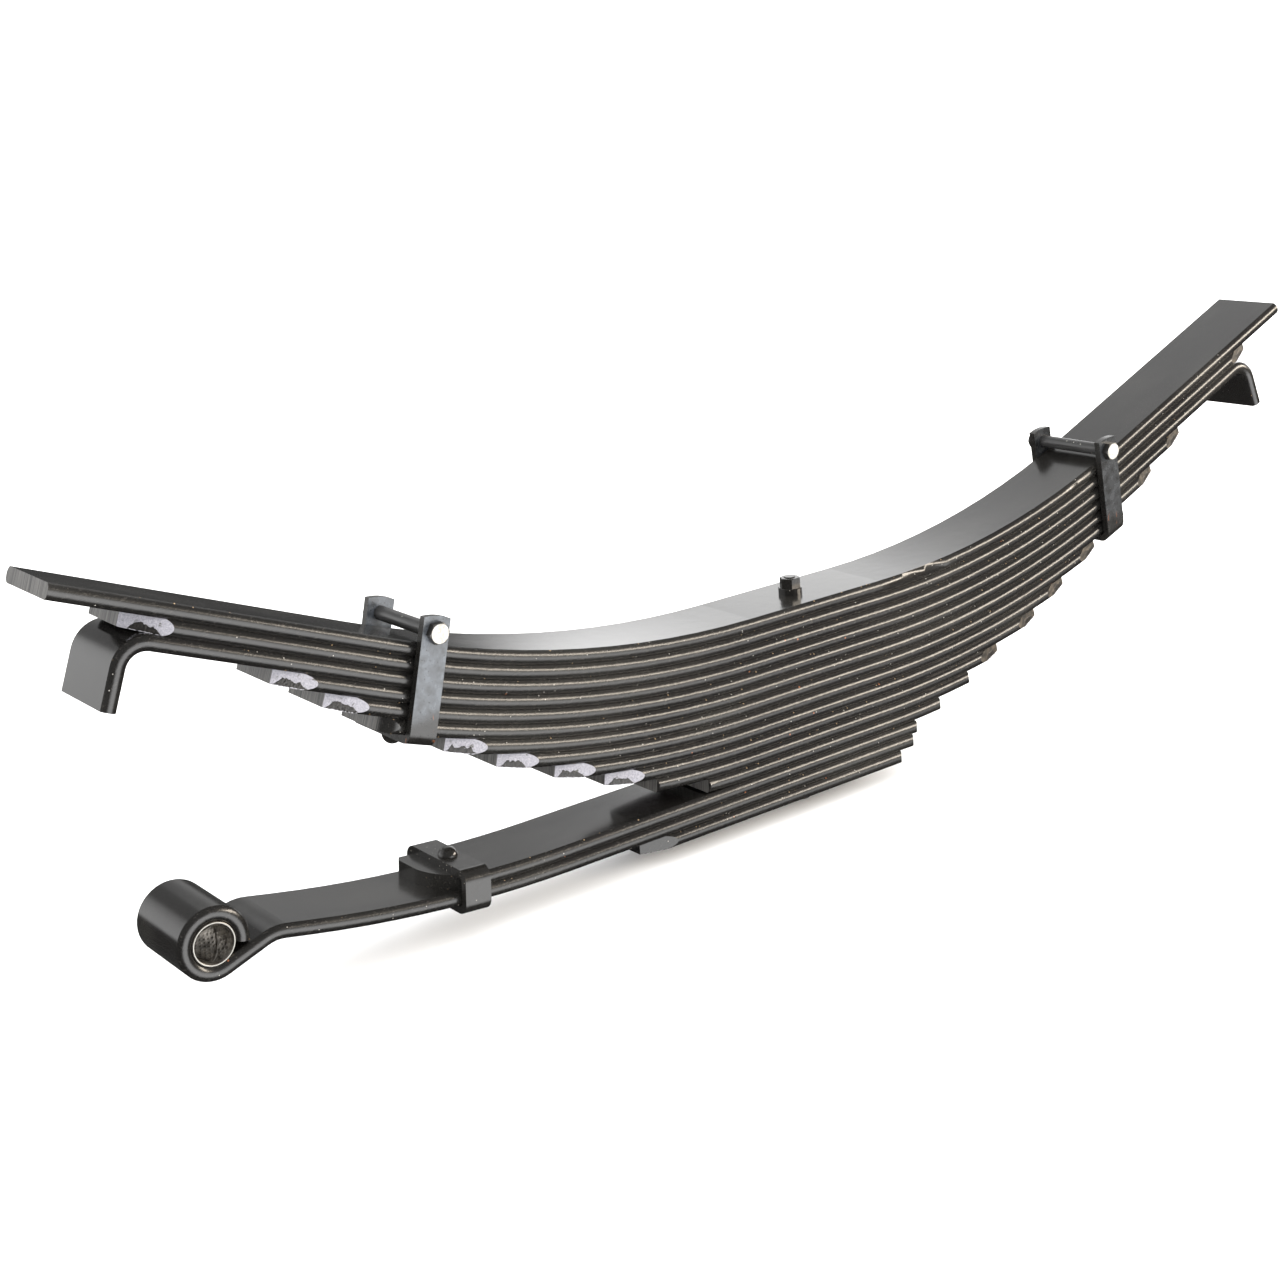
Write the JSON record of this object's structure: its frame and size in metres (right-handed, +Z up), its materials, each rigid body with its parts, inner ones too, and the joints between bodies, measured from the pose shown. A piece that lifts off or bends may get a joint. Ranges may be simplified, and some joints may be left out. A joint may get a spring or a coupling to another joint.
{
  "type": "multi-leaf truck spring",
  "caption": "Rear leaf spring for a heavy truck: arched steel leaf pack on a centre bolt, with hooked slipper leaf, rebound clips and a lower radius leaf ending in a bushed eye.",
  "frame": {"origin": "underside of the pack on the axis of the centre bolt, where the pack sits on the axle seat", "axes": "+X along the spring away from the eye, +Y across the leaves, +Z up, from the axle seat through the pack"},
  "size_m": [1.3577, 0.1052, 0.3708],
  "materials": {
    "leaf_paint": "satin black chassis paint over rolled spring steel",
    "clip_paint": "satin black paint over bent strap steel",
    "rivet_paint": "gloss black paint over steel rivet",
    "spacer_paint": "satin black painted steel tube",
    "clip_fastener": "satin black paint over forged hexagon fastener",
    "centre_fastener": "semi-gloss black paint over steel bolt, washer and nut",
    "bush_lining": "steel-backed rolled bush with dimpled lining"
  },
  "bodies": {
    "leaf_pack": {"centre_bolt": "centre_fastener", "centre_nut": "centre_fastener", "centre_washer": "centre_fastener", "eye_bushing": "bush_lining", "leaf_01_main": "leaf_paint", "leaf_02_second": "leaf_paint", "leaf_03_hooked": "leaf_paint", "leaf_04_graded": "leaf_paint", "leaf_05_graded": "leaf_paint", "leaf_06_clip": "leaf_paint", "leaf_07_graded": "leaf_paint", "leaf_08_graded": "leaf_paint", "leaf_09_graded": "leaf_paint", "leaf_10_graded": "leaf_paint", "leaf_11_short": "leaf_paint", "leaf_12_short": "leaf_paint", "leaf_13_radius_helper": "leaf_paint", "leaf_14_radius_eyed": "leaf_paint", "leaf_15_bottom": "leaf_paint", "left_clip_bolt": "clip_fastener", "left_clip_nut": "clip_fastener", "left_clip_rivet": "rivet_paint", "left_clip_strap": "clip_paint", "radius_clip_band": "clip_paint", "radius_clip_rivet": "rivet_paint", "right_clip_bolt": "clip_fastener", "right_clip_nut": "clip_fastener", "right_clip_rivet": "rivet_paint", "right_clip_strap": "clip_paint"},
    "left_spacer": {"left_clip_spacer_tube": "spacer_paint"},
    "right_spacer": {"right_clip_spacer_tube": "spacer_paint"}
  },
  "joints": [
    {"name": "left_spacer_turn", "type": "hinge", "parent": "leaf_pack", "child": "left_spacer", "pos_m": [-0.39865, 0, 0.25003], "axis": [0, 1, 0], "continuous": true},
    {"name": "right_spacer_turn", "type": "hinge", "parent": "leaf_pack", "child": "right_spacer", "pos_m": [0.38257, 0, 0.24997], "axis": [0, 1, 0], "continuous": true}
  ]
}
